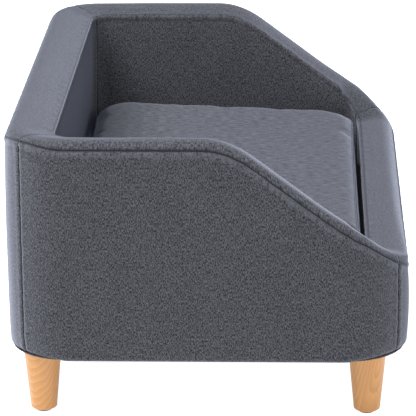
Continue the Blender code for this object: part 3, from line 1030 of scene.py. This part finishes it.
def turned(name, axis, profile):
    """A closed turned solid on a vertical axis, from (radius, height) steps, foot first."""
    deselect()
    first_radius, first_height = profile[0]
    bpy.ops.mesh.primitive_circle_add(vertices=TURNED_SIDES, radius=first_radius, fill_type="TRIFAN",
                                      location=(axis.x, axis.y, first_height))
    piece = bpy.context.active_object
    piece.name = name
    bpy.ops.object.transform_apply(location=True, rotation=False, scale=False)
    bpy.ops.object.mode_set(mode="EDIT")
    bpy.ops.mesh.select_mode(type="VERT")
    bpy.ops.mesh.select_all(action="SELECT")
    bpy.ops.mesh.flip_normals()
    bpy.ops.mesh.select_all(action="DESELECT")
    bpy.ops.mesh.select_mode(type="EDGE")
    bpy.ops.mesh.select_non_manifold()
    radius = first_radius
    height = first_height
    for next_radius, next_height in profile[1:]:
        bpy.ops.mesh.extrude_edges_move()
        centre = (axis.x, axis.y, height)
        ratio = next_radius / radius
        bpy.ops.transform.resize(value=(ratio, ratio, 1.0), center_override=centre)
        bpy.ops.transform.translate(value=(0, 0, next_height - height))
        radius = next_radius
        height = next_height
    bpy.ops.mesh.edge_face_add()
    bpy.ops.mesh.select_all(action="SELECT")
    bpy.ops.mesh.normals_make_consistent(inside=False)
    bpy.ops.object.mode_set(mode="OBJECT")
    bpy.ops.object.shade_smooth_by_angle(angle=math.radians(40))
    return piece


def arc_steps(radius, height, corner, count=5):
    """Profile steps round a convex lower edge, from its flat to its side."""
    steps = []
    for k in range(count + 1):
        angle = math.pi / 2 * k / count
        out = radius - corner + corner * math.sin(angle)
        steps.append((out, height + corner * (1 - math.cos(angle))))
    return steps


# %% Legs and glides

CORNERS = ("back_left", "front_left", "front_right", "back_right")
LEG_FOOT_RADIUS = 0.0167
LEG_FOOT_EDGE = 0.0028
LEG_TAPER_STEPS = 10
RING_TILT = 0.30
PITH_AWAY = 0.012
GLIDE_EDGE = 0.0014
GLIDE_GAP = 0.0002


def leg_axis(corner):
    return (low(f"{corner}_leg") + high(f"{corner}_leg")) / 2


def grain_place(piece, axis, turn, start):
    """Each leg's own place in the log: turned by some angle, and tilted to cut the rings."""
    values = piece.data.attributes.new("grain", "FLOAT_VECTOR", "POINT")
    for vertex, entry in zip(piece.data.vertices, values.data):
        x = vertex.co.x - axis.x
        y = vertex.co.y - axis.y
        across = x * math.cos(turn) - y * math.sin(turn)
        through = x * math.sin(turn) + y * math.cos(turn)
        tilt = RING_TILT * (vertex.co.z - start)
        entry.vector = (across, through + PITH_AWAY + tilt, vertex.co.z + start)


for index, corner in enumerate(CORNERS):
    axis = leg_axis(corner)
    foot = low(f"{corner}_leg").z
    top = high(f"{corner}_leg").z
    top_radius = (high(f"{corner}_leg").x - low(f"{corner}_leg").x) / 2
    profile = arc_steps(LEG_FOOT_RADIUS, foot, LEG_FOOT_EDGE)
    side_height = foot + LEG_FOOT_EDGE
    for k in range(1, LEG_TAPER_STEPS + 1):
        share = k / LEG_TAPER_STEPS
        profile.append((LEG_FOOT_RADIUS + (top_radius - LEG_FOOT_RADIUS) * share,
                        side_height + (top - side_height) * share))
    leg = turned(f"{corner}_turned_leg", axis, profile)
    grain_place(leg, axis, 1.9 * index - 1.2, 0.05 * index)
    body = f"{corner}_leg_assembly"
    hold(leg, body, "beech", BEECH, f"{corner}_leg")
    glide_low = low(f"{corner}_glide").z
    glide_radius = (high(f"{corner}_glide").x - low(f"{corner}_glide").x) / 2
    glide_steps = arc_steps(glide_radius, glide_low, GLIDE_EDGE)
    glide_steps.append((glide_radius, foot - GLIDE_GAP))
    glide = turned(f"{corner}_steel_glide", axis, glide_steps)
    hold(glide, body, "dark_steel", DARK_STEEL, f"{corner}_glide")
print("legs turned with a foot of", LEG_FOOT_RADIUS, "and a top of", round(top_radius, 4))

# %% [markdown]
# ## Finishes on the pieces that keep their own shape
# Boards, blocks, fittings, felt and foam are already the shape they should be, so they only
# get a better finish, chosen by the words in their names.

# %% Finish the remaining nodes

KEPT_FINISHES = (("board", PLYWOOD), ("bent_ply", PLYWOOD), ("seat_deck", PLYWOOD),
                 ("foam", FOAM), ("block", PINE), ("batten", PINE), ("nut", ZINC),
                 ("bolt", ZINC), ("slider", ZINC), ("pull", ZINC), ("deck_cloth", BLACK_FELT),
                 ("dust_cover", BLACK_FELT), ("tape", ZIP_TAPE))

for name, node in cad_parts.items():
    for word, material in KEPT_FINISHES:
        if word in name:
            node.data.materials.clear()
            node.data.materials.append(material)
            break

# %% [markdown]
# ## Floor, light and camera
# A plain pale floor and soft light: one wide panel of light overhead, a second at the front,
# on the camera's right, and an even blue sky. The floor glows by itself, so that it stays
# white and its shadows are faint. The camera stands at one arm's end, a little above the
# sofa, with a long lens.

# %% Studio

FLOOR_SIZE = 30.0
FLOOR_DROP = 0.0005
FLOOR_GLOW = 0.95
SKY = (0.60, 0.74, 1.0, 1.0)
SKY_STRENGTH = 0.25


def make_floor():
    deselect()
    bpy.ops.mesh.primitive_plane_add(size=FLOOR_SIZE, location=(0, 0, -FLOOR_DROP))
    floor = bpy.context.active_object
    floor.name = "studio_floor"
    finish = Finish("pale_floor", Roughness=0.9)
    place = finish.node("ShaderNodeTexCoord", out="Object")
    cloud = finish.noise(place, 0.8, detail=2.0)
    pale = finish.blend(cloud, tint(0.80, 0.80, 0.80), tint(0.82, 0.82, 0.82))
    finish.feed("Base Color", pale)
    finish.shader.inputs["Emission Color"].default_value = tint(1.0, 1.0, 1.0)
    finish.shader.inputs["Emission Strength"].default_value = FLOOR_GLOW
    floor.data.materials.append(finish.material)


def soft_panel(name, place, aim, size, watts, colour):
    lamp = bpy.data.lights.new(name, "AREA")
    lamp.shape = "RECTANGLE"
    lamp.size, lamp.size_y = size
    lamp.energy = watts
    lamp.color = colour
    holder = bpy.data.objects.new(name, lamp)
    bpy.context.collection.objects.link(holder)
    holder.location = place
    holder.rotation_mode = "QUATERNION"
    holder.rotation_quaternion = (Vector(aim) - Vector(place)).to_track_quat("-Z", "Y")


def make_sky(strength):
    world = bpy.data.worlds.new("studio_sky")
    bpy.context.scene.world = world
    world.use_nodes = True
    world.node_tree.nodes["Background"].inputs["Color"].default_value = SKY
    world.node_tree.nodes["Background"].inputs["Strength"].default_value = strength


make_floor()
make_sky(SKY_STRENGTH)
soft_panel("overhead_panel", place=(-0.60, 0.90, 2.3), aim=(0, 0, 0), size=(1.8, 1.8),
           watts=158.0, colour=(0.97, 0.98, 1.0))
soft_panel("front_right_panel", place=(-0.5, -2.7, 1.2), aim=(-0.1, 0, 0.15), size=(1.6, 1.2),
           watts=40.0, colour=(1.0, 0.98, 0.95))
bpy.context.scene.view_settings.view_transform = "Standard"

# %% Camera

CAMERA_PLACE = (-3.4122, -0.1235, 1.2436)
CAMERA_YAW = 0.0393
CAMERA_PITCH = 0.3072
CAMERA_ROLL = -0.0083
CAMERA_LENS = 227.7


def make_camera():
    lens = bpy.data.cameras.new("studio_camera")
    lens.lens = CAMERA_LENS
    lens.sensor_width = 36.0
    camera = bpy.data.objects.new("studio_camera", lens)
    bpy.context.collection.objects.link(camera)
    forward = Vector((math.cos(CAMERA_PITCH) * math.cos(CAMERA_YAW),
                      math.cos(CAMERA_PITCH) * math.sin(CAMERA_YAW), -math.sin(CAMERA_PITCH)))
    right = forward.cross(Vector((0, 0, 1))).normalized()
    up = right.cross(forward)
    turned_right = right * math.cos(CAMERA_ROLL) + up * math.sin(CAMERA_ROLL)
    turned_up = up * math.cos(CAMERA_ROLL) - right * math.sin(CAMERA_ROLL)
    axes = Matrix((turned_right, turned_up, -forward)).transposed()
    camera.matrix_world = Matrix.Translation(CAMERA_PLACE) @ axes.to_4x4()
    bpy.context.scene.camera = camera


make_camera()
